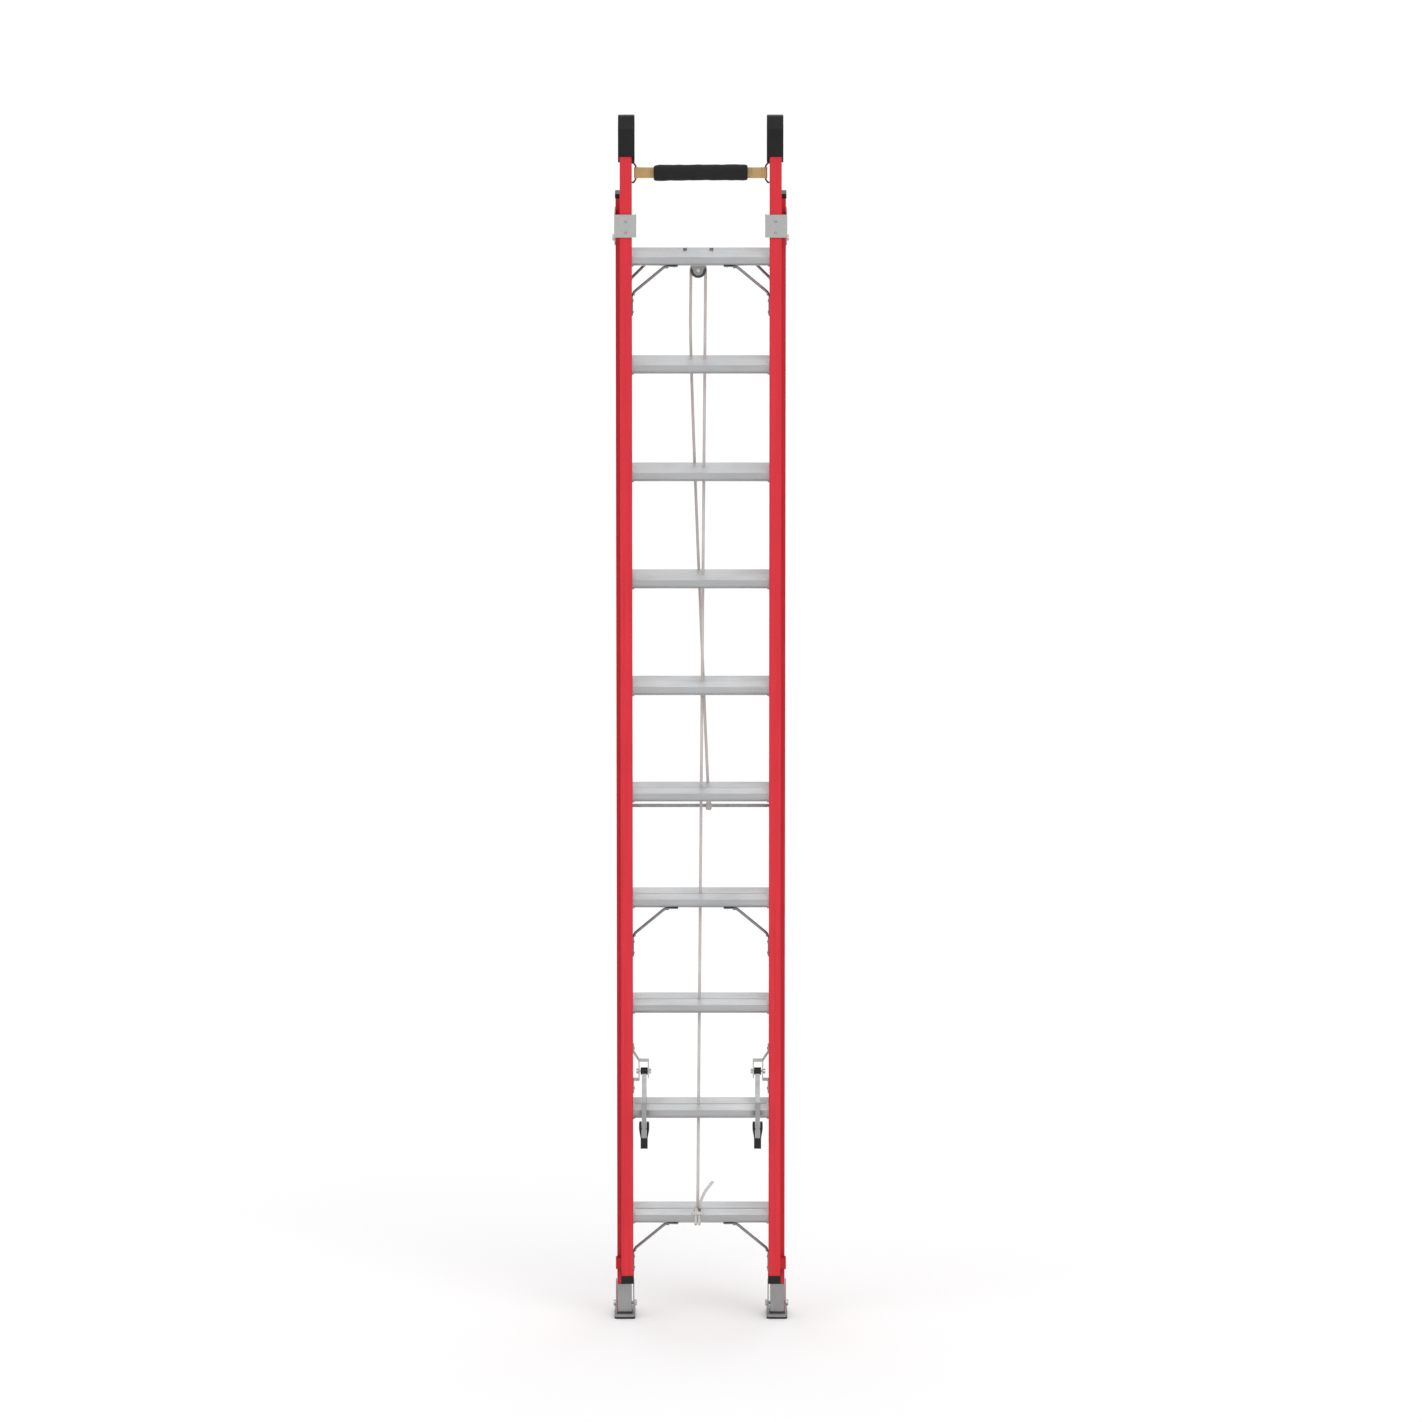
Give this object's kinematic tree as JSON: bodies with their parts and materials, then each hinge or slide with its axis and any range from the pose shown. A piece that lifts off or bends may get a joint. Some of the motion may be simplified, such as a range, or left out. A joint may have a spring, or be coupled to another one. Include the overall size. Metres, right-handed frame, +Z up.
{
  "type": "extension ladder",
  "caption": "Two-section extension ladder with channel side rails, D-shaped rungs, rung locks, rope and pulley, swivel shoes and a padded pole strap.",
  "frame": {"origin": "on the floor under the middle of the closed ladder, between its two feet", "axes": "+Z up along the rails, +X to the climber's right, +Y from the climber towards the wall"},
  "size_m": [0.4986, 0.206, 3.456],
  "materials": {
    "fibreglass_red": "satin pultruded fibreglass",
    "rung_aluminium": "extruded",
    "brace_steel": "zinc plated",
    "rivet_steel": "zinc plated",
    "zinc_plate": "zinc plated sheet",
    "lock_casting": "die cast",
    "black_nylon": "moulded nylon",
    "cap_rubber": "moulded",
    "cap_plastic": "moulded",
    "tread_rubber": "grooved",
    "shoe_plate": "zinc plated",
    "rod_steel": "zinc plated",
    "bolt_zinc": "zinc plated",
    "sheave_nylon": "moulded",
    "ring_wire": "bronze passivated",
    "webbing": "woven",
    "sleeve_foam": "foam covered",
    "rope_fibre": "braided"
  },
  "bodies": {
    "base": {"base_boots": "zinc_plate", "base_braces": "brace_steel", "base_end_caps": "cap_plastic", "base_rail_left": "fibreglass_red", "base_rail_right": "fibreglass_red", "base_rivets": "rivet_steel", "base_rung_01": "rung_aluminium", "base_rung_02": "rung_aluminium", "base_rung_03": "rung_aluminium", "base_rung_04": "rung_aluminium", "base_rung_05": "rung_aluminium", "base_rung_06": "rung_aluminium", "base_rung_07": "rung_aluminium", "base_rung_08": "rung_aluminium", "base_rung_09": "rung_aluminium", "base_rung_10": "rung_aluminium", "guide_brackets": "zinc_plate", "guide_bolts": "bolt_zinc", "tie_rod": "rod_steel", "tie_rod_nuts": "bolt_zinc", "pulley_bracket": "zinc_plate", "pulley_pin": "bolt_zinc", "pulley_bolts": "bolt_zinc", "shoe_pivot_bolts": "bolt_zinc", "rope_front": "rope_fibre", "rope_rear": "rope_fibre"},
    "fly": {"fly_braces": "brace_steel", "fly_end_caps": "cap_plastic", "fly_hooks": "fibreglass_red", "fly_rail_left": "fibreglass_red", "fly_rail_right": "fibreglass_red", "fly_rivets": "rivet_steel", "fly_rung_01": "rung_aluminium", "fly_rung_02": "rung_aluminium", "fly_rung_03": "rung_aluminium", "fly_rung_04": "rung_aluminium", "fly_rung_05": "rung_aluminium", "fly_rung_06": "rung_aluminium", "fly_rung_07": "rung_aluminium", "fly_rung_08": "rung_aluminium", "fly_rung_09": "rung_aluminium", "fly_rung_10": "rung_aluminium", "mar_caps": "cap_rubber", "pole_strap": "webbing", "strap_sleeve": "sleeve_foam", "strap_rings": "ring_wire", "lock_brackets": "zinc_plate", "lock_bolts": "bolt_zinc", "rope_knot": "rope_fibre"},
    "sheave": {"pulley_sheave": "sheave_nylon"},
    "lock_left": {"lock_arm_left": "lock_casting", "lock_bushing_left": "black_nylon"},
    "lock_right": {"lock_arm_right": "lock_casting", "lock_bushing_right": "black_nylon"},
    "tongue_left": {"lock_tongue_left": "black_nylon"},
    "tongue_right": {"lock_tongue_right": "black_nylon"},
    "shoe_left_foot": {"shoe_left": "shoe_plate", "shoe_tread_left": "tread_rubber"},
    "shoe_right_foot": {"shoe_right": "shoe_plate", "shoe_tread_right": "tread_rubber"}
  },
  "joints": [
    {"name": "fly_slide", "type": "slide", "parent": "base", "child": "fly", "axis": [0, 0, 1], "range_m": [0, 2.1336], "deforming": ["rope_front"]},
    {"name": "pulley_spin", "type": "hinge", "parent": "base", "child": "sheave", "pos_m": [-0.007, 0.044, 3.0082], "axis": [0, 1, 0], "continuous": true},
    {"name": "lock_left_pivot", "type": "hinge", "parent": "fly", "child": "lock_left", "pos_m": [-0.1605, -0.044, 0.7308], "axis": [1, 0, 0], "range_deg": [0, 11]},
    {"name": "tongue_left_pivot", "type": "hinge", "parent": "lock_left", "child": "tongue_left", "pos_m": [-0.1605, -0.096, 0.5748], "axis": [1, 0, 0], "range_deg": [-25, 25]},
    {"name": "shoe_left_pivot", "type": "hinge", "parent": "base", "child": "shoe_left_foot", "pos_m": [-0.216, 0.044, 0.034], "axis": [1, 0, 0], "range_deg": [-5, 20]},
    {"name": "lock_right_pivot", "type": "hinge", "parent": "fly", "child": "lock_right", "pos_m": [0.1605, -0.044, 0.7308], "axis": [1, 0, 0], "range_deg": [0, 11]},
    {"name": "tongue_right_pivot", "type": "hinge", "parent": "lock_right", "child": "tongue_right", "pos_m": [0.1605, -0.096, 0.5748], "axis": [1, 0, 0], "range_deg": [-25, 25]},
    {"name": "shoe_right_pivot", "type": "hinge", "parent": "base", "child": "shoe_right_foot", "pos_m": [0.216, 0.044, 0.034], "axis": [1, 0, 0], "range_deg": [-5, 20]}
  ],
  "couplings": [
    {"joint": "pulley_spin", "follows": "fly_slide", "rad_per_m": -48.781}
  ]
}
